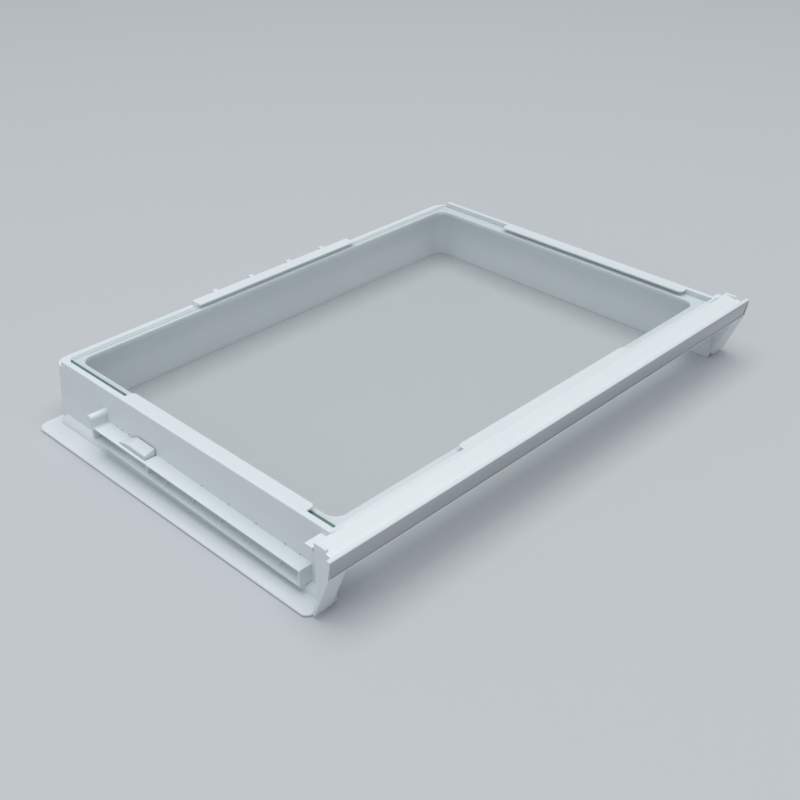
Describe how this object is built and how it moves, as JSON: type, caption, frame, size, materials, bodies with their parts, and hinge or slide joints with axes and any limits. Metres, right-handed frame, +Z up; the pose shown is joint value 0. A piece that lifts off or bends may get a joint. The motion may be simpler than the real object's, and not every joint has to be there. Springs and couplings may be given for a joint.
{
  "type": "refrigerator shelf",
  "caption": "Slide-out refrigerator shelf: a deep plastic tray frame with a glass pane, side flanges, inclined runners, a rear retainer and a beaded front panel.",
  "frame": {"origin": "under the middle of the shelf, on the plane of the side flanges that it rests on", "axes": "+X along the front to the right, +Y from the front panel to the rear retainer, +Z up to the glass; the shelf lies upside down, so use-up is -Z"},
  "size_m": [0.5, 0.3482, 0.058],
  "materials": {
    "frame_plastic": "fine satin moulded surface",
    "pane_glass": "clear float glass with green ground edges",
    "retainer_plastic": "fine satin moulded surface",
    "panel_plastic": "fine satin moulded surface",
    "strip_mirror": "bright mirror-like decor strip"
  },
  "bodies": {
    "root": {"frame": "frame_plastic", "glass_pane": "pane_glass", "rear_retainer": "retainer_plastic", "front_panel": "panel_plastic", "front_strip": "strip_mirror"}
  },
  "joints": []
}
